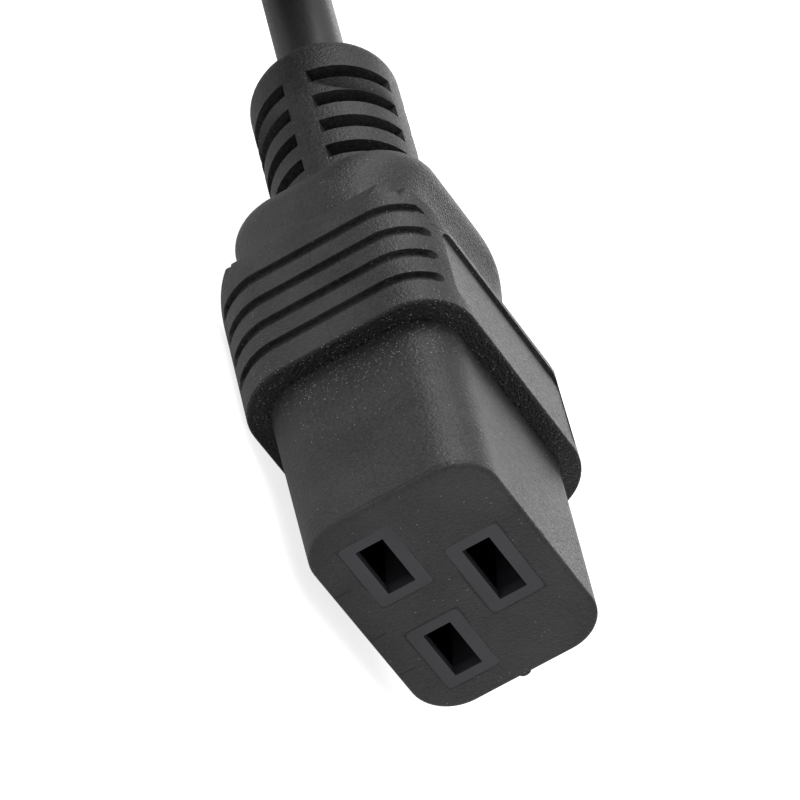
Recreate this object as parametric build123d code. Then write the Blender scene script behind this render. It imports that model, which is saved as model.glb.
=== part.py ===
from build123d import *
from math import cos, pi, radians, sin, tan
import os

# Power cord: a moulded connector with three blade slots, about 1.8 m of round three-core
# cord wound into a coil, and the inlet plug on its other end.
# All sizes are millimetres. X runs across the connector, Y from its face towards the cord,
# Z up from the surface that it lies on. The origin is under the middle of the connector.

# Connector: nose, collar, dome and relief, one behind the other along the axis
connector_length = 74.8
nose_width = 27.7
nose_height = 19.4
nose_corner = 4.5
nose_length = 20.3
nose_draft = 0.7
face_edge_round = 0.5
collar_width = 32.2
collar_height = 23.9
collar_corner = 6.0
collar_front_round = 0.35
collar_rear = 33.0
collar_side_end = 35.2
collar_side_turn = 16.4
collar_side_radius = 10.0
collar_sweep_middle = (14.4, 35.3)
collar_sweep_start = 11.6
relief_start = 53.4
relief_radius = 7.65
relief_rim = 2.5
relief_sleeve_radius = 4.8

# Dome sections: distance behind the face, half width, half height and corner radius
dome_sections = [
    (31.6, 15.8, 8.7, 7.2),
    (36.0, 15.3, 8.9, 7.2),
    (40.0, 14.8, 9.1, 7.1),
    (43.0, 14.4, 9.5, 7.0),
    (45.0, 14.1, 9.9, 6.9),
    (46.5, 13.5, 10.3, 6.8),
    (48.0, 12.5, 10.5, 6.8),
    (49.5, 11.2, 10.3, 7.0),
    (51.0, 9.8, 9.8, 7.2),
    (52.3, 8.6, 9.1, 7.4),
    (53.4, 7.7, 8.3, 7.5),
]
plug_dome_sections = [
    (20.0, 16.5, 11.9, 6.9),
    (24.0, 16.2, 11.6, 6.9),
    (28.0, 15.5, 11.2, 7.0),
    (30.5, 14.3, 10.8, 7.1),
    (33.0, 12.2, 10.1, 7.2),
    (35.2, 9.8, 9.2, 7.4),
    (37.1, 7.7, 8.3, 7.5),
]

# Grip grooves, wide-side pocket and relief slots
groove_count = 4
groove_pitch = 3.35
groove_first = 23.95
groove_width = 1.3
groove_depth = 0.55
groove_end = 13.2
pocket_width = 24.0
pocket_start = 22.0
pocket_end = 32.2
pocket_depth = 0.4
pocket_corner = 1.5
slot_count = 4
slot_pitch = 4.0
slot_first = 55.45
slot_length = 1.9
spine_width = 2.7

# Blade layout shared by the connector and the plug, from the middle of the face
line_spacing = 13.0
line_drop = 3.8
earth_rise = 4.2
line_slot_width = 6.35
earth_slot_width = 7.5
blade_slot_height = 2.86
blade_slack = 0.5
blade_thickness = 2.0

# Contact carrier, flush with the connector's face
tower_wall = 1.2
tower_height = 5.5
tower_corner = 0.5
tower_end = 14.0
chamber_height = 4.1
chamber_extra = 0.75
chamber_end = 22.0
carrier_width = 23.5
carrier_height = 15.5
carrier_corner = 2.0
carrier_end = 26.0

# Contacts: folded strip with a crimp barrel
strip = 0.5
contact_front = 1.7
contact_throat = 5.0
contact_gap = 1.6
contact_mouth = 2.9
contact_back = 20.6
crimp_outside = 3.4
crimp_length = 8.4
strand_diameter = 2.3
strand_in_crimp = 6.0

# Cord
cord_diameter = 7.0
core_diameter = 2.7
core_circle = 1.6
core_start = 31.0
jacket_start = 51.0
coil_turns = 7.517
coil_layers = 4
coil_radius = 42.0
coil_center = (-42.0, 86.0)
coil_end_length = 18.0
lead_end = 60.0
tail_length = 9.5

# Plug, lying on one of its narrow sides
plug_length = 58.5
shroud_clearance = 0.5
shroud_wall = 2.4
shroud_corner = 7.3
shroud_depth = 19.0
plug_body_end = 24.0
plug_relief_start = 37.1
plug_groove_first = 9.5
plug_groove_end = 14.0
pin_tip = 2.2
bridge_width = 26.0
bridge_height = 16.5
bridge_corner = 3.0
bridge_end = 24.0
plug_crimp_length = 5.5
plug_core_start = 29.5
plug_jacket_start = 42.0
plug_end = (-80.0, 46.0)
plug_turn = 3.0

# Places worked out from the sizes above
axis_height = collar_height / 2
nose_face = -connector_length / 2
cord_radius = cord_diameter / 2
blade_places = {
    "line": (-line_spacing / 2, -line_drop, line_slot_width),
    "neutral": (line_spacing / 2, -line_drop, line_slot_width),
    "earth": (0.0, earth_rise, earth_slot_width),
}
shroud_width = nose_width + 2 * (nose_length * tan(radians(nose_draft)) + shroud_clearance + shroud_wall)
shroud_height = nose_height + shroud_width - nose_width
plug_axis_height = shroud_width / 2
connector_tip = (0.0, connector_length / 2, axis_height)
plug_tip = (plug_end[0], plug_end[1], plug_axis_height)
tail_start = (plug_tip[0] - tail_length * sin(radians(plug_turn)),
              plug_tip[1] + tail_length * cos(radians(plug_turn)), plug_axis_height)


def slab(shape, start, end):
    """A solid of one section, between two distances behind a face."""
    return extrude(Plane.XZ.offset(-end) * shape, amount=end - start)


def plan_solid(outline, half_height):
    """A solid of one plan outline, as far above the middle plane as below it."""
    return extrude(outline, amount=half_height, both=True)


def tube(points, diameter, name):
    """A tube of straight runs joined by tangent arcs, each as large as its two runs allow."""
    at = [Vector(*p) for p in points]
    radii = []
    for before, corner, after in zip(at, at[1:], at[2:]):
        turn = radians((corner - before).get_angle(after - corner))
        shorter = min((corner - before).length, (after - corner).length)
        radii.append(0.45 * shorter / tan(turn / 2))
    path = FilletPolyline(*at, radius=radii) if radii else Polyline(*at)
    section = Plane(origin=at[0], z_dir=at[1] - at[0]) * Circle(diameter / 2)
    solid = sweep(section, path=path)
    exact = pi * diameter ** 2 / 4 * path.length
    print(name, "radii", [round(r, 1) for r in radii], "length", round(path.length, 2),
          "volume over section x length", round(solid.volume / exact, 4))
    return solid


def dome(sections):
    """The rear of a housing, low and wide at the collar and bulging before a steep end."""
    return loft([Plane.XZ.offset(-place) * RectangleRounded(2 * half, 2 * high, corner)
                 for place, half, high, corner in sections])


def relief(start, end):
    """A round strain relief: four rows of slots between straight spines, over a plain sleeve."""
    solid = slab(Circle(relief_radius), start - 3, end)
    rim = solid.edges().filter_by(GeomType.CIRCLE).group_by(Axis.Y)[-1]
    solid = fillet(rim, relief_rim)
    ring = Circle(relief_radius + 1) - Circle(relief_sleeve_radius)
    ring -= Rectangle(spine_width, 3 * relief_radius)
    ring -= Rectangle(3 * relief_radius, spine_width)
    first = start + slot_first - relief_start
    for i in range(slot_count):
        solid -= slab(ring, first + i * slot_pitch, first + i * slot_pitch + slot_length)
    return solid


def grip_grooves(width, height, corner, first, end):
    """A cutter for the grooves across both narrow sides, with rounded ends on the corners."""
    slots = Sketch()
    for i in range(groove_count):
        middle = first + i * groove_pitch
        for side in (-1, 1):
            slots += Pos(side * (end + groove_width / 2), middle) * Circle(groove_width / 2)
            slots += Pos(side * (end + (groove_width + width) / 2), middle) * Rectangle(width, groove_width)
    inside = RectangleRounded(width - 2 * groove_depth, height - 2 * groove_depth, corner - groove_depth)
    return plan_solid(slots, height) - slab(inside, 0, first + groove_count * groove_pitch)


def nose():
    """The part that goes into an inlet, a little wider at its root."""
    face = Plane.XZ * RectangleRounded(nose_width, nose_height, nose_corner)
    solid = extrude(face, amount=-nose_length, taper=-nose_draft)
    return fillet(solid.faces().sort_by(Axis.Y)[0].edges(), face_edge_round)


def collar():
    """The widest part, with straight rear edges that sweep back round the corners."""
    block = slab(RectangleRounded(collar_width, collar_height, collar_corner), nose_length, relief_start)
    half = collar_width / 2
    turned = [(half - collar_side_radius * (1 - cos(a)), collar_side_end + collar_side_radius * sin(a))
              for a in (radians(collar_side_turn / 2), radians(collar_side_turn))]
    right = Line((half, nose_length), (half, collar_side_end))
    right += ThreePointArc((half, collar_side_end), *turned)
    right += ThreePointArc(turned[1], collar_sweep_middle, (collar_sweep_start, collar_rear))
    outline = make_face(right + mirror(right, about=Plane.YZ)
                        + Line((-half, nose_length), (half, nose_length))
                        + Line((collar_sweep_start, collar_rear), (-collar_sweep_start, collar_rear)))
    solid = block & plan_solid(outline, collar_height)
    front = solid.faces().sort_by(Axis.Y)[0]
    return fillet(front.edges(), collar_front_round)


def connector_outside():
    """The moulding from outside, with its grooves, pockets and slots."""
    solid = nose() + collar() + dome(dome_sections) + relief(relief_start, connector_length)
    solid -= grip_grooves(collar_width, collar_height, collar_corner, groove_first, groove_end)
    pocket = Pos(0, (pocket_start + pocket_end) / 2) * RectangleRounded(
        pocket_width, pocket_end - pocket_start, pocket_corner)
    for side in (-1, 1):
        floor = side * (collar_height / 2 - pocket_depth)
        solid -= extrude(Pos(0, 0, floor) * pocket, amount=side * 2)
    return solid


def carrier():
    """The hard insert: three towers flush with the face, on a block that holds the contacts."""
    solid = slab(RectangleRounded(carrier_width, carrier_height, carrier_corner), tower_end, carrier_end)
    for x, z, width in blade_places.values():
        solid += slab(Pos(x, z) * RectangleRounded(width + 2 * tower_wall, tower_height, tower_corner), 0, tower_end + 1)
    for x, z, width in blade_places.values():
        solid -= slab(Pos(x, z) * Rectangle(width, blade_slot_height), -1, tower_wall + 1)
        solid -= slab(Pos(x, z) * Rectangle(width + chamber_extra, chamber_height), tower_wall, chamber_end)
        solid -= slab(Pos(x, z) * Circle(crimp_outside / 2), chamber_end - 1, carrier_end + 1)
    return solid


def contact(x, z, slot_width):
    """A folded strip that grips a blade, and the barrel crimped on its core."""
    inner = [(contact_mouth / 2, contact_front), (contact_gap / 2, contact_throat), (contact_gap / 2, contact_back)]
    leaf = [*inner, *[(across + strip, along) for across, along in reversed(inner)]]
    profile = make_face(Polyline(*leaf, close=True))
    profile += make_face(Polyline(*[(-across, along) for across, along in leaf], close=True))
    profile += Pos(0, contact_back + strip / 2) * Rectangle(contact_gap + 2 * strip, strip)
    section = Plane(origin=(x + slot_width / 2, 0, z), x_dir=(0, 0, 1), z_dir=(-1, 0, 0))
    clip = extrude(section * profile, amount=slot_width)
    barrel = slab(Pos(x, z) * (Circle(crimp_outside / 2) - Circle(strand_diameter / 2)),
                  contact_back + strip, contact_back + strip + crimp_length)
    return clip + barrel


def strand(x, z, start, end):
    """The bare wire of one core, in its barrel."""
    return slab(Pos(x, z) * Circle(strand_diameter / 2), start, end)


def core(name, x, z, start, end):
    """One insulated core from its barrel to its place in the jacket."""
    angle = {"line": 210, "neutral": 330, "earth": 90}[name]
    at_end = (core_circle * cos(radians(angle)), core_circle * sin(radians(angle)))
    run = (end - start) / 3
    points = [(x, start, z), (x, start + run, z), (at_end[0], end - run, at_end[1]), (at_end[0], end, at_end[1])]
    return tube(points, core_diameter, name + "_core")


def pin(x, z, slot_width):
    """One flat blade with a rounded tip, and the barrel behind the bridge."""
    blade = slab(Pos(x, z) * Rectangle(slot_width - blade_slack, blade_thickness), pin_tip, bridge_end)
    tip = blade.faces().sort_by(Axis.Y)[0]
    blade = fillet(tip.edges(), blade_thickness / 2 - 0.4)
    barrel = slab(Pos(x, z) * Circle(crimp_outside / 2), bridge_end - 1, bridge_end + plug_crimp_length)
    bore = slab(Pos(x, z) * Circle(strand_diameter / 2), bridge_end + strip, bridge_end + plug_crimp_length)
    return blade + barrel - bore


def plug_outside():
    """The plug's moulding from outside: a deep shroud, a plain grip and the same relief."""
    solid = slab(RectangleRounded(shroud_width, shroud_height, shroud_corner), 0, plug_body_end)
    ends = solid.faces().group_by(Axis.Y)
    solid = fillet(ends[0].edges() + ends[-1].edges(), face_edge_round)
    solid += dome(plug_dome_sections) + relief(plug_relief_start, plug_length)
    solid -= grip_grooves(shroud_width, shroud_height, shroud_corner, plug_groove_first, plug_groove_end)
    cavity = RectangleRounded(shroud_width - 2 * shroud_wall, shroud_height - 2 * shroud_wall,
                              shroud_corner - shroud_wall)
    return solid - slab(cavity, -1, shroud_depth)


def coil_solid(ends):
    """The coil's outer shape, with a straight end in line with each tube that meets it."""
    inner = coil_radius - coil_turns / coil_layers * cord_diameter
    width = coil_radius - inner + cord_diameter
    bundle = RectangleRounded(width, coil_layers * cord_diameter, cord_radius - 0.01)
    ring = revolve(Plane.XZ * (Pos((coil_radius + inner) / 2, coil_layers * cord_radius) * bundle), Axis.Z)
    solid = Pos(coil_center[0], coil_center[1], 0) * ring
    for before, end in ends:
        run = Plane(origin=end, z_dir=Vector(*end) - Vector(*before))
        solid += extrude(run * Circle(cord_radius), amount=coil_end_length)
    return solid


def in_connector(solid):
    """Places something built behind the connector's face."""
    return Location((0, nose_face, axis_height)) * solid


def in_plug(solid):
    """Places something built behind the plug's face."""
    return Location(plug_tip) * Rot(0, 0, plug_turn) * Pos(0, -plug_length, 0) * Rot(0, 90, 0) * solid


# Cord route: the short straight runs between the two strain reliefs and the coil
lead_points = [connector_tip, (0.0, lead_end, axis_height)]
tail_points = [tail_start, plug_tip]

nodes = {}

# Connector
inner = {"contact_carrier": carrier()}
for name, (x, z, width) in blade_places.items():
    inner[name + "_contact"] = contact(x, z, width)
    inner[name + "_strands"] = strand(x, z, core_start - 2 - strand_in_crimp, core_start)
    inner[name + "_core"] = core(name, x, z, core_start, jacket_start)
inner["cord_root"] = slab(Circle(cord_radius), jacket_start, connector_length)
filler = slab(RectangleRounded(carrier_width, carrier_height, carrier_corner), tower_end, carrier_end)
for x, z, width in blade_places.values():
    filler += slab(Pos(x, z) * RectangleRounded(width + 2 * tower_wall, tower_height, tower_corner), 0, tower_end + 1)
moulding = connector_outside() - filler
for name, solid in inner.items():
    if name != "contact_carrier":
        moulding -= solid
nodes["connector_moulding"] = in_connector(moulding)
for name, solid in inner.items():
    nodes[name] = in_connector(solid)

# Cord
nodes["cord_lead"] = tube(lead_points, cord_diameter, "cord_lead")
nodes["cord_coil"] = coil_solid([lead_points, tail_points[::-1]])
nodes["cord_tail"] = tube(tail_points, cord_diameter, "cord_tail")

# Plug
inner = {}
for name, (x, z, width) in blade_places.items():
    inner["plug_" + name + "_pin"] = pin(x, z, width)
    inner["plug_" + name + "_strands"] = strand(x, z, bridge_end + strip, plug_core_start)
    inner["plug_" + name + "_core"] = core(name, x, z, plug_core_start, plug_jacket_start)
inner["plug_cord_root"] = slab(Circle(cord_radius), plug_jacket_start, plug_length)
bridge = slab(RectangleRounded(bridge_width, bridge_height, bridge_corner), shroud_depth, bridge_end)
moulding = plug_outside() - bridge
for name, solid in inner.items():
    moulding -= solid
for x, z, width in blade_places.values():
    bridge -= pin(x, z, width)
nodes["plug_moulding"] = in_plug(moulding)
nodes["plug_pin_bridge"] = in_plug(bridge)
for name, solid in inner.items():
    nodes[name] = in_plug(solid)

os.makedirs("parts", exist_ok=True)
for name, solid in nodes.items():
    shape = solid if len(solid.solids()) > 1 else solid.solid()
    print(name, "solids", len(solid.solids()), "valid", shape.is_valid, "volume", round(shape.volume, 1))
    export_step(shape, "parts/" + name + ".step")
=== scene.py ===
from math import cos, pi, radians, sin

import bmesh
import bpy
from mathutils import Matrix, Vector
from mathutils.bvhtree import BVHTree


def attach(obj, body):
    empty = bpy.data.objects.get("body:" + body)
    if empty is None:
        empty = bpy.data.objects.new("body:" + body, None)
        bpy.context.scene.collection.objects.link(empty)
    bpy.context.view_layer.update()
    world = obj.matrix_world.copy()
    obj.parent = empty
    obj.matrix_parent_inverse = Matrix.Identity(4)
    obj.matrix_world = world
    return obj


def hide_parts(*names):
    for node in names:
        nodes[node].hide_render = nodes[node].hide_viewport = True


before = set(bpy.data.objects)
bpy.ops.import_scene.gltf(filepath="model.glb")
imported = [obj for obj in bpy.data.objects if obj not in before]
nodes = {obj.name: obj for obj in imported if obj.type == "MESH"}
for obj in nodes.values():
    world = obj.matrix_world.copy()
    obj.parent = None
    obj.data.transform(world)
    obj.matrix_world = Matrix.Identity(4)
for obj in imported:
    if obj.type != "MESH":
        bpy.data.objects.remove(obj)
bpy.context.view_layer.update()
scene = bpy.context.scene
scene.view_settings.view_transform = "Standard"

# View
# A long lens, nearly 0.6 m away, looks down on the face and the earth side of the connector, from
# its left. The picture is 800 by 800 pixels, with the nose low in it and the cord going out at the
# top. It is shifted by a few pixels, so that the plug's corner stays out of it.
PICTURE = 800
LENS_PIXELS = 6030.7
SENSOR = 36
SHIFT_PIXELS = -2.4
CAMERA_AT = (-0.36670, -0.43607, 0.12882)
PICTURE_RIGHT = (0.4775, -0.1740, 0.8613)
VIEW_AHEAD = (0.6386, 0.7420, -0.2041)
camera = bpy.data.objects.new("camera", bpy.data.cameras.new("camera"))
camera.data.sensor_width = SENSOR
camera.data.lens = LENS_PIXELS / PICTURE * SENSOR
camera.data.clip_end = 20
camera.data.shift_y = SHIFT_PIXELS / PICTURE
to_right = Vector(PICTURE_RIGHT).normalized()
to_back = -Vector(VIEW_AHEAD).normalized()
to_top = to_back.cross(to_right)
camera.matrix_world = Matrix.Translation(CAMERA_AT) @ Matrix(
    (to_right, to_top, to_back)).transposed().to_4x4()
scene.collection.objects.link(camera)
scene.camera = camera

# Connector moulding
# Flexible PVC, injection moulded round the insert and the cord in one shot. It is matt and charcoal
# black, with the grain of a spark-eroded mould, a parting line along its narrow sides, trimmed flash
# and three short tool marks at the face, and pale dust at the nose's root and in the grooves.
MM = 0.001
PVC_COLOURS = ("#202022", "#38383a")
PVC_GRAIN = 0.3 * MM
PVC_DEPTH = 0.14 * MM
PVC_ROUGHNESS = 0.5
FACE = -37.4 * MM
COLLAR_FRONT = -17.1 * MM
AXIS = 11.95 * MM


def linear(hex_colour):
    """An sRGB hex colour as the linear values that a shader takes."""
    parts = [int(hex_colour[i:i + 2], 16) / 255 for i in (1, 3, 5)]
    return [p / 12.92 if p <= 0.04045 else ((p + 0.055) / 1.055) ** 2.4 for p in parts] + [1]


def put(tree, kind, inputs=None, **settings):
    """Adds one node to a material, with its settings and a value or a source for each input."""
    node = tree.nodes.new(kind)
    for name, value in settings.items():
        setattr(node, name, value)
    for key, value in (inputs or {}).items():
        if isinstance(value, bpy.types.NodeSocket):
            tree.links.new(value, node.inputs[key])
        else:
            node.inputs[key].default_value = value
    return node


def calc(tree, operation, *values):
    """The result of one sum on numbers and sockets."""
    return put(tree, "ShaderNodeMath", dict(enumerate(values)), operation=operation).outputs[0]


def off(tree, value, middle):
    """How far a value lies from the middle of a feature."""
    return calc(tree, "ABSOLUTE", calc(tree, "SUBTRACT", value, middle))


def ramp(tree, value, low, high, at_low=0.0, at_high=1.0):
    """A value moved from one range to another and held at its ends."""
    return put(tree, "ShaderNodeMapRange", {0: value, 1: low, 2: high, 3: at_low, 4: at_high}).outputs[0]


def noise(tree, place, size, detail, roughness=0.5):
    """Cloudy noise with patches of about a size."""
    return put(tree, "ShaderNodeTexNoise", {"Vector": place, "Scale": 1 / size, "Detail": detail,
                                            "Roughness": roughness}).outputs["Fac"]


def blend(tree, share, one, two):
    """A mix of two colours, with the second one by its share."""
    return put(tree, "ShaderNodeMix", {0: share, 6: one, 7: two}, data_type="RGBA").outputs[2]


def grained(name, colours, grain, depth, roughness, metallic=0.0, extra=None):
    """A surface with two close colours in cloudy patches, a fine grain and uneven shine.

    extra(tree, place, colour, height) may change the colour and the height of the grain."""
    cloud_size = 25 * grain
    shine_spread = 0.08
    made = bpy.data.materials.new(name)
    made.use_nodes = True
    tree = made.node_tree
    tree.nodes.clear()
    place = put(tree, "ShaderNodeTexCoord").outputs["Object"]
    cloud = noise(tree, place, cloud_size, 3.0)
    fine = noise(tree, place, grain, 2.0, 0.6)
    share = ramp(tree, calc(tree, "ADD", cloud, fine), 0.8, 1.2)
    colour = blend(tree, share, linear(colours[0]), linear(colours[1]))
    height = fine
    if extra:
        colour, height = extra(tree, place, colour, height)
    shine = ramp(tree, fine, 0.3, 0.7, roughness - shine_spread, roughness + shine_spread)
    bump = put(tree, "ShaderNodeBump", {"Strength": 1.0, "Distance": depth, "Height": height}).outputs[0]
    shader = put(tree, "ShaderNodeBsdfPrincipled", {"Base Color": colour, "Roughness": shine,
                                                    "Metallic": metallic, "Normal": bump})
    put(tree, "ShaderNodeOutputMaterial", {"Surface": shader.outputs[0]})
    return made


def wear(names, look):
    """Gives a material to CAD pieces."""
    for name in names:
        nodes[name].data.materials.clear()
        nodes[name].data.materials.append(look)


# Gaps as fine as a hair round the three towers of the insert, open in places only, drawn as dark
# lines of painted shade in the gaps. A tower has the x and z of its middle and its width, in mm.
TOWERS = [(-6.5, 8.15, 8.75), (6.5, 8.15, 8.75), (0.0, 16.15, 9.9)]
TOWER_HALF = 2.75 * MM
GAP_FROM = 0.34
GAP_GROWTH = 0.75 * MM


# Painted shade: near-black hair lines round the towers, where the gaps open
def tower_gap_shade(tree, x, z, open_at):
    gap = 1.0
    for tower_x, tower_z, width in TOWERS:
        across = calc(tree, "SUBTRACT", off(tree, x, tower_x * MM), width / 2 * MM)
        up = calc(tree, "SUBTRACT", off(tree, z, tower_z * MM), TOWER_HALF)
        gap = calc(tree, "MINIMUM", gap, calc(tree, "ABSOLUTE", calc(tree, "MAXIMUM", across, up)))
    reach = calc(tree, "MULTIPLY", calc(tree, "SUBTRACT", open_at, GAP_FROM), GAP_GROWTH)
    return calc(tree, "LESS_THAN", gap, reach)


# Three short marks that the mould leaves at the lower edge of the face
TOOL_MARKS = (-6.0, 0.8, 6.3)
MARK_HALF = 0.1 * MM
MARK_TOP = 4.2 * MM


def tool_marks(tree, x, z):
    marks = 0.0
    for mark in TOOL_MARKS:
        marks = calc(tree, "MAXIMUM", marks, calc(tree, "LESS_THAN", off(tree, x, mark * MM), MARK_HALF))
    return calc(tree, "MULTIPLY", marks, calc(tree, "LESS_THAN", z, MARK_TOP))


# The parting line of the two mould halves, along both narrow sides and behind the face's rounding
PARTING = 11.75 * MM
PARTING_HALF = 0.06 * MM
PARTING_DARK = 0.35
PARTING_FROM = 7.0 * MM
PARTING_BEHIND = 0.5 * MM


def parting_line(tree, x, y, z):
    side = calc(tree, "GREATER_THAN", calc(tree, "ABSOLUTE", x), PARTING_FROM)
    behind = calc(tree, "GREATER_THAN", y, FACE + PARTING_BEHIND)
    line = calc(tree, "LESS_THAN", off(tree, z, PARTING), PARTING_HALF)
    return calc(tree, "MULTIPLY", calc(tree, "MULTIPLY", line, side), behind)


# Flash trimmed off close behind the edge of the face, on the line side only
FLASH_BEHIND = 0.55 * MM
FLASH_FROM = 0.4
FLASH_GROWTH = 0.9 * MM
FLASH_SIDE = -11.5 * MM
FLASH_DARK = 0.8


def trimmed_flash(tree, x, y, open_at):
    reach = calc(tree, "MULTIPLY", calc(tree, "SUBTRACT", open_at, FLASH_FROM), FLASH_GROWTH)
    trimmed = calc(tree, "LESS_THAN", off(tree, y, FACE + FLASH_BEHIND), reach)
    return calc(tree, "MULTIPLY", trimmed, calc(tree, "LESS_THAN", x, FLASH_SIDE))


# The front of the collar as the spark left it, rough enough to glitter, and darker: partly its pitted
# texture, partly painted shade for the corner at the nose's root
PIT = 0.2 * MM
PIT_AND_SHADE_COLOUR = "#0c0c0e"
PIT_RISE = 1.5
COLLAR_SKIN = 0.25 * MM


def rough_shaded_collar(tree, place, y, colour, height):
    rough_and_shaded = calc(tree, "LESS_THAN", off(tree, y, COLLAR_FRONT), COLLAR_SKIN)
    coarse = noise(tree, place, PIT, 1.0)
    pits = ramp(tree, coarse, 0.5, 0.72, 1.0, 0.5)
    # painted shade in the corner at the nose's root, darker still in the pits
    colour = blend(tree, calc(tree, "MULTIPLY", rough_and_shaded, pits), colour, linear(PIT_AND_SHADE_COLOUR))
    rise = calc(tree, "MULTIPLY", calc(tree, "MULTIPLY", rough_and_shaded, coarse), PIT_RISE)
    return colour, calc(tree, "ADD", height, rise)


# Dust in small pale specks: thick at the nose's root, thinner on the grips, a few elsewhere
SPECK = 0.28 * MM
SPECK_SHARE = 0.17
SPECK_COLOUR = "#a8a8a6"
ROOT_DUST = COLLAR_FRONT - 1.2 * MM
ROOT_REACH = 4 * MM
GRIP_MIDDLE = FACE + 27.5 * MM
GRIP_REACH = (6 * MM, 9 * MM)


def dusted(tree, place, y, colour):
    specks = put(tree, "ShaderNodeTexVoronoi", {"Vector": place, "Scale": 1 / SPECK})
    chosen = put(tree, "ShaderNodeSeparateColor", {0: specks.outputs["Color"]}).outputs[0]
    at_root = ramp(tree, off(tree, y, ROOT_DUST), 0.0, ROOT_REACH, 0.3, 0.96)
    at_grips = ramp(tree, off(tree, y, GRIP_MIDDLE), *GRIP_REACH, 0.88, 1.0)
    bare = calc(tree, "MINIMUM", at_root, at_grips)
    speck = calc(tree, "MULTIPLY", calc(tree, "GREATER_THAN", chosen, bare),
                 calc(tree, "LESS_THAN", specks.outputs["Distance"], SPECK_SHARE))
    return blend(tree, speck, colour, linear(SPECK_COLOUR))


# All of these marks together, with the painted shade in the tower gaps and at the collar's front, on the
# grained PVC
FACE_SKIN = 0.3 * MM
OPENING_SIZE = 4 * MM
MARK_AND_GAP_SHADE_COLOUR = "#08080a"
MARK_SINK = 2.5


def moulded(tree, place, colour, height):
    x, y, z = put(tree, "ShaderNodeSeparateXYZ", {0: place}).outputs
    open_at = noise(tree, place, OPENING_SIZE, 1.0)
    at_face = calc(tree, "LESS_THAN", y, FACE + FACE_SKIN)
    face_marks_and_gap_shade = calc(tree, "MAXIMUM", tower_gap_shade(tree, x, z, open_at), tool_marks(tree, x, z))
    face_marks_and_gap_shade = calc(tree, "MULTIPLY", face_marks_and_gap_shade, at_face)
    flash = calc(tree, "MULTIPLY", trimmed_flash(tree, x, y, open_at), FLASH_DARK)
    line = parting_line(tree, x, y, z)
    dark = calc(tree, "MAXIMUM", calc(tree, "MAXIMUM", face_marks_and_gap_shade, flash),
                calc(tree, "MULTIPLY", line, PARTING_DARK))
    # the marks, and the painted shade in the tower gaps, in near black
    colour = blend(tree, dark, colour, linear(MARK_AND_GAP_SHADE_COLOUR))
    colour, height = rough_shaded_collar(tree, place, y, colour, height)
    colour = dusted(tree, place, y, colour)
    sink = calc(tree, "MULTIPLY", calc(tree, "MAXIMUM", dark, line), MARK_SINK)
    return colour, calc(tree, "SUBTRACT", height, sink)


pvc = grained("flexible_pvc", PVC_COLOURS, PVC_GRAIN, PVC_DEPTH, PVC_ROUGHNESS, extra=moulded)
wear(["connector_moulding"], pvc)

# Collar's rear edge
# Part of the same PVC shot: the collar's corners run back over the dome and end in a swept edge
# behind the last grip groove, and its narrow sides go over into the dome without an edge. Each side
# is one closed skin, set a hair over the moulding. Its sizes are in mm, from the face and the axis.
COLLAR_HALF = (16.1, 11.95)
CORNER = 6.0
CORNER_SPAN = 76
CORNER_STEP = 2
SIDE_STEPS = 12
ROWS = 14
PROUD = 0.012
OVERLAP = 0.8
SHARP = radians(35)
WALL_STEP = 0.02
INSIDE_ACROSS = 0.8
INSIDE_UP = 0.5
EASE = 1.5
SIDE_END = 35.2
SIDE_RADIUS = 10.0
SIDE_CURVED = 2.82
SIDE_SLOPE = 0.294
EDGE_START = 33.0
GROOVE_REAR = 34.7
GROOVE_DEPTH = 0.57
GROOVE_CLOSING = (49, 60)
SWEEP_BEND = 30
SWEEP_LENGTH = 5.4
SWEEP_FROM = 11.4
SWEEP_ACROSS = 4.1
SWEEP_LEAST = 0.02
SWEEP_BOW = 0.85
SIDE_REAR = 38.2
SIDE_TAIL = 1.6
RIDGE_FADE = (22, 46)
RAY_FROM = 30

# a column is a turn in degrees round a corner, and a step down the straight of the narrow side
columns = [*((turn, 0) for turn in range(CORNER_SPAN, -1, -CORNER_STEP)),
           *((0, step) for step in range(1, SIDE_STEPS)),
           *((-turn, SIDE_STEPS) for turn in range(0, CORNER_SPAN + 1, CORNER_STEP))]
shell = nodes["connector_moulding"]
surface = BVHTree.FromPolygons([shell.matrix_world @ v.co for v in shell.data.vertices],
                               [face.vertices for face in shell.data.polygons])


def side_lean(back):
    """How far the narrow side has turned inwards, so far behind the face."""
    curved = min(max(0.0, back - SIDE_END), SIDE_CURVED)
    straight = max(0.0, back - SIDE_END - curved)
    return SIDE_RADIUS - (SIDE_RADIUS ** 2 - curved ** 2) ** 0.5 + SIDE_SLOPE * straight


def sunk_in_dome(side, point, share):
    """A point of the skin, moved by its share to just under the moulding's own surface."""
    outward = Vector((side * point.x, 0, point.z)).normalized()
    far = Vector((0, FACE + point.y * MM, AXIS)) + RAY_FROM * MM * outward
    hit = surface.ray_cast(far, -outward)[0]
    under = (hit - Vector((0, FACE, AXIS)) - 2 * PROUD * MM * outward) / MM
    under.x *= side
    return point.lerp(under, share * share * (3 - 2 * share))


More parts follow.
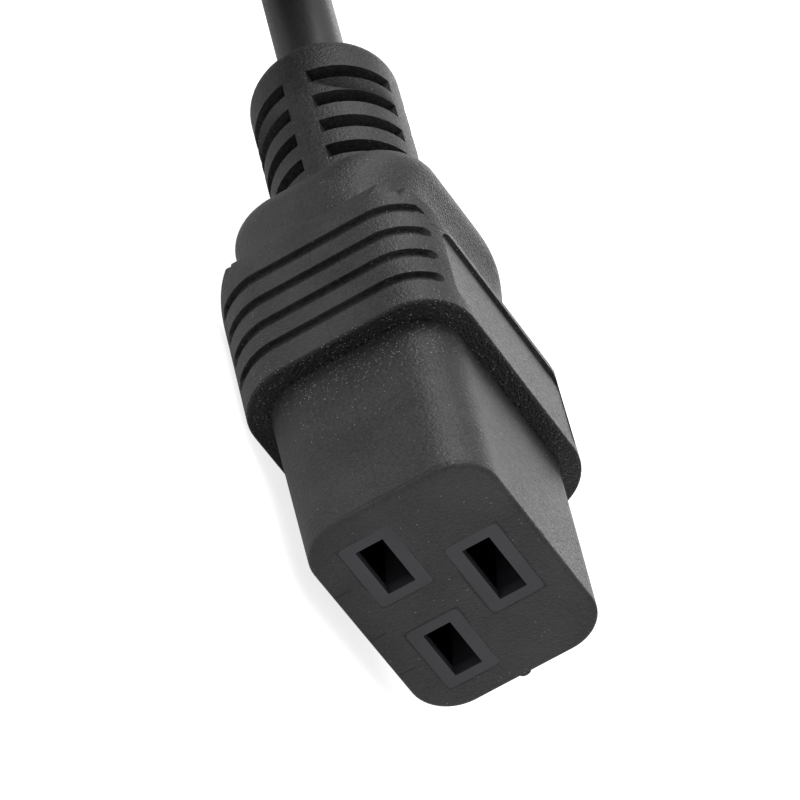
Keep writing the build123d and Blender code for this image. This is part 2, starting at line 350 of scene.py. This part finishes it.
def edge_ring(side, turn, step):
    """One closed ring of the skin: the groove's wall, the outside up to the edge, and the inside."""
    bend = abs(turn)
    turned = radians(turn)
    across = COLLAR_HALF[0] - CORNER + (CORNER + PROUD) * cos(turned)
    up = (COLLAR_HALF[1] - CORNER) * (1 - 2 * step / SIDE_STEPS) + (CORNER + PROUD) * sin(turned)
    closes, closed = GROOVE_CLOSING
    groove_end = min(1.0, max(0.0, (bend - closes) / (closed - closes)))
    start = GROOVE_REAR - (GROOVE_REAR - EDGE_START) * groove_end ** EASE
    floor = GROOVE_DEPTH * (1 - groove_end)
    on_side = max(0.0, 1 - (bend / SWEEP_BEND) ** 2)
    if bend < SWEEP_BEND:
        end = SIDE_REAR + SIDE_TAIL * on_side ** EASE
    else:
        sweep = max(SWEEP_LEAST, (across - SWEEP_FROM) / SWEEP_ACROSS)
        end = EDGE_START + SWEEP_LENGTH * sweep ** SWEEP_BOW
    ridge_gone, ridge_full = RIDGE_FADE
    fade = min(1.0, max(0, ridge_full - turn) / (ridge_full - ridge_gone)) if turn > 0 else on_side
    sunk = (across - floor * cos(turned), up - floor * sin(turned))
    ring = [(sunk[0], start - OVERLAP, sunk[1]), (sunk[0], start - WALL_STEP, sunk[1])]
    for row in range(ROWS + 1):
        back = start + (end - start) * row / ROWS
        point = Vector((min(across, COLLAR_HALF[0] + PROUD - side_lean(back)), back, up))
        share = fade * max(0.0, back - SIDE_END) / abs(end - SIDE_END)
        ring.append(tuple(sunk_in_dome(side, point, share) if share > 0 else point))
    return ring + [(INSIDE_ACROSS * ring[-1][0], end, INSIDE_UP * up),
                   (INSIDE_ACROSS * ring[0][0], start, INSIDE_UP * up)]


def shaped(name, bm, look):
    """Turns a finished bmesh into an object of the scene, with its material."""
    mesh = bpy.data.meshes.new(name)
    bm.to_mesh(mesh)
    bm.free()
    mesh.materials.append(look)
    made = bpy.data.objects.new(name, mesh)
    scene.collection.objects.link(made)
    return made


for side, piece in ((-1, "collar_edge_left"), (1, "collar_edge_right")):
    bm = bmesh.new()
    rings = [[bm.verts.new((side * x * MM, FACE + y * MM, AXIS + z * MM))
              for x, y, z in edge_ring(side, turn, step)] for turn, step in columns]
    for one, two in zip(rings, rings[1:]):
        for k in range(len(one)):
            bm.faces.new((one[k - 1], one[k], two[k], two[k - 1]))
    bm.faces.new(rings[0])
    bm.faces.new(rings[-1])
    bmesh.ops.recalc_face_normals(bm, faces=bm.faces)
    for face in bm.faces:
        face.smooth = True
    edge = shaped(piece, bm, pvc)
    edge.data.set_sharp_from_angle(angle=SHARP)
    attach(edge, "root")

# Injection point
# A nub of the same PVC at the edge of the face, on the neutral side, where the moulding was torn
# off its runner. It is longer along the edge than it is deep.
NUB_RADIUS = 0.36 * MM
NUB_AT = (13.68 * MM, FACE + 0.3 * MM, 12.1 * MM)
NUB_STRETCH = (1.1, 1, 1.8, 1)
bm = bmesh.new()
bmesh.ops.create_icosphere(bm, subdivisions=3, radius=NUB_RADIUS,
                           matrix=Matrix.Translation(NUB_AT) @ Matrix.Diagonal(NUB_STRETCH))
for face in bm.faces:
    face.smooth = True
nub = shaped("injection_nub", bm, pvc)
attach(nub, "root")

# Contact carrier
# The insert that holds the contacts, and the bridge that holds the plug's blades: hard glass-filled
# nylon, moulded first and overmoulded with the PVC. It is smoother than the PVC, a little lighter
# and bluer, and the insert is flush with the face.
wear(["contact_carrier", "plug_pin_bridge"],
     grained("glass_filled_nylon", ("#333338", "#3e3e44"), 0.18 * MM, 0.02 * MM, 0.46))

# Contacts
# Folded bronze strip with crimped barrels, pushed into the insert from behind. The slots look black,
# so the strip is coloured near black: painted shade for the inside of the slots.
wear(["line_contact", "neutral_contact", "earth_contact"],
     grained("shade_darkened_bronze_strip", ("#15110d", "#1d1711"), 0.3 * MM, 0.002 * MM, 0.5, metallic=1.0))

# Cores
# Bare copper strands, crimped in the contacts and blades, with PVC insulation of the usual colours:
# brown, blue, and green with yellow bands. They lie inside the mouldings.
STRIPE = 2.4 * MM
ends = ("", "plug_")
wear([end + name + "_strands" for end in ends for name in ("line", "neutral", "earth")],
     grained("bare_copper_strands", ("#b0663c", "#c47a4a"), 0.25 * MM, 0.02 * MM, 0.35, metallic=1.0))
wear([end + "line_core" for end in ends],
     grained("brown_insulation_pvc", ("#4a2a18", "#55311d"), 0.2 * MM, 0.003 * MM, 0.4))
wear([end + "neutral_core" for end in ends],
     grained("blue_insulation_pvc", ("#1d4a9c", "#2554aa"), 0.2 * MM, 0.003 * MM, 0.4))


def striped(tree, place, colour, height):
    along = put(tree, "ShaderNodeSeparateXYZ", {0: place}).outputs[0]
    wave = calc(tree, "SINE", calc(tree, "MULTIPLY", along, 2 * pi / STRIPE))
    return blend(tree, calc(tree, "GREATER_THAN", wave, 0.0), colour, linear("#c9b52a")), height


wear([end + "earth_core" for end in ends],
     grained("green_yellow_insulation_pvc", ("#2d7a33", "#34863a"), 0.2 * MM, 0.003 * MM, 0.4,
             extra=striped))

# Cord
# Round flexible PVC cord, 7 mm thick with three cores in it, about 1.8 m long. It leaves the
# connector's relief straight, lies in a coil of four layers and ends in the plug. Its extruded
# jacket is smoother and a little paler than the mouldings, with a shallower grain.
CORD = 7 * MM
STEPS_ROUND = 8
STEPS_ALONG = 6
JACKET_COLOURS = ("#39393b", "#404042")
TURNS = 7.517
LAYERS = 4
COIL_RADIUS = 42 * MM
COIL_CENTRE = (-42 * MM, 86 * MM)
PER_TURN = 16
CLIMB_TURN = 0.5
JOIN_TURN = 0.1
JOIN_RISE = 1.5 * MM
JOIN_DROP = 1.6 * MM
# the way from the connector to the coil, and from the coil to the plug, in mm
LEAD = [(0, 13.6, 11.95), (0, 26, 11.95), (0, 37.4, 11.95), (0, 48.7, 11.95), (0, 60, 11.95),
        (0, 68.5, 10.6), (0, 77, 7.5)]
TAIL = [(-82.6, 71, 20.1), (-81.2, 62, 17.7), (-80.5, 55.5, 17), (-80, 46, 17),
        (-79.58, 38, 17), (-79.14, 29.52, 17)]


def coil_point(turn):
    """The cord's middle in the coil, after so many turns: in and out, layer upon layer."""
    per_layer = TURNS / LAYERS
    layer = min(int(turn / per_layer), LAYERS - 1)
    wound = (turn - layer * per_layer) * CORD
    inner = COIL_RADIUS - per_layer * CORD
    radius = inner + wound if layer % 2 else COIL_RADIUS - wound
    height = CORD / 2
    for k in range(1, LAYERS):
        climb = min(1, max(0, (turn - k * per_layer) / CLIMB_TURN + 0.5))
        height += CORD * climb * climb * (3 - 2 * climb)
    height += JOIN_RISE * max(0, 1 - turn / JOIN_TURN) ** 2
    height -= JOIN_DROP * max(0, 1 - (TURNS - turn) / JOIN_TURN) ** 2
    angle = 2 * pi * turn
    return (COIL_CENTRE[0] + radius * cos(angle), COIL_CENTRE[1] + radius * sin(angle), height)


coil = [coil_point(i / PER_TURN) for i in range(round(TURNS * PER_TURN) + 1)]
route = [tuple(v * MM for v in p) for p in LEAD] + coil + [tuple(v * MM for v in p) for p in TAIL]
cord_curve = bpy.data.curves.new("cord", "CURVE")
cord_curve.dimensions = "3D"
spline = cord_curve.splines.new("NURBS")
spline.points.add(len(route) - 1)
for point, at in zip(spline.points, route):
    point.co = (*at, 1)
spline.order_u = 3
spline.use_endpoint_u = True
spline.resolution_u = STEPS_ALONG
cord_curve.bevel_depth = CORD / 2
cord_curve.bevel_resolution = STEPS_ROUND
cord_curve.use_fill_caps = True
jacket = grained("extruded_cord_pvc", JACKET_COLOURS, 0.3 * MM, 0.02 * MM, 0.44)
cord_curve.materials.append(jacket)
wear(["cord_root", "cord_lead", "cord_coil", "cord_tail", "plug_cord_root"], jacket)
cord = bpy.data.objects.new("cord", cord_curve)
scene.collection.objects.link(cord)
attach(cord, "root")
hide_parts("cord_root", "cord_lead", "cord_coil", "cord_tail", "plug_cord_root")

# Plug
# The inlet plug on the far end: the same PVC, moulded round the pin bridge and the cord, without
# the face's marks. Its three blades are brass, stamped and plated with satin nickel.
wear(["plug_moulding"],
     grained("flexible_pvc_plug", PVC_COLOURS, PVC_GRAIN, PVC_DEPTH, PVC_ROUGHNESS))
wear(["plug_line_pin", "plug_neutral_pin", "plug_earth_pin"],
     grained("nickel_plated_brass", ("#b4b2aa", "#c2c0b8"), 0.4 * MM, 0.001 * MM, 0.3, metallic=1.0))

# Floor
# A pale plain sheet of paper under the object. To the camera it is white, and it keeps the shadow.
# In reflections it is a little brighter than its light makes it, for the sheen on the sides.
FLOOR_HALF = 3
GLOW_SEEN = 0.8
GLOW_MIRRORED = 0.25
paper = bpy.data.materials.new("white_paper")
paper.use_nodes = True
tree = paper.node_tree
tree.nodes.clear()
matt = put(tree, "ShaderNodeBsdfDiffuse", {"Color": linear("#e4e4e4")})
rays = put(tree, "ShaderNodeLightPath").outputs
strength = calc(tree, "MULTIPLY_ADD", rays["Is Camera Ray"], GLOW_SEEN,
                calc(tree, "MULTIPLY", rays["Is Glossy Ray"], GLOW_MIRRORED))
glow = put(tree, "ShaderNodeEmission", {"Color": (1, 1, 1, 1), "Strength": strength})
both = put(tree, "ShaderNodeAddShader", {0: matt.outputs[0], 1: glow.outputs[0]})
put(tree, "ShaderNodeOutputMaterial", {"Surface": both.outputs[0]})
bm = bmesh.new()
bmesh.ops.create_grid(bm, x_segments=1, y_segments=1, size=FLOOR_HALF)
floor = shaped("floor", bm, paper)

# Light
# Even white surroundings that give less light than they show, a soft lamp high behind the object,
# on its left, for the dome and the cord, and a weaker one low behind it, on its right, for the sheen
# along the wide side.
WORLD_LIGHT = 0.58
WORLD_SEEN = 1.0
LAMP_SIDE = 0.5
world = bpy.data.worlds.new("world")
scene.world = world
world.use_nodes = True
tree = world.node_tree
tree.nodes.clear()
seen = put(tree, "ShaderNodeLightPath").outputs["Is Camera Ray"]
strength = ramp(tree, seen, 0.0, 1.0, WORLD_LIGHT, WORLD_SEEN)
sky = put(tree, "ShaderNodeBackground", {"Color": (1, 1, 1, 1), "Strength": strength})
put(tree, "ShaderNodeOutputWorld", {"Surface": sky.outputs[0]})
for name, place, watts in (("left_lamp", (-0.60, 0.60, 0.55), 5.2),
                           ("back_lamp", (0.62, 0.74, 0.30), 1.6)):
    lamp = bpy.data.lights.new(name, "AREA")
    lamp.shape = "RECTANGLE"
    lamp.size = lamp.size_y = LAMP_SIDE
    lamp.energy = watts
    holder = bpy.data.objects.new(name, lamp)
    holder.location = place
    holder.rotation_euler = Vector(place).to_track_quat("Z", "Y").to_euler()
    scene.collection.objects.link(holder)
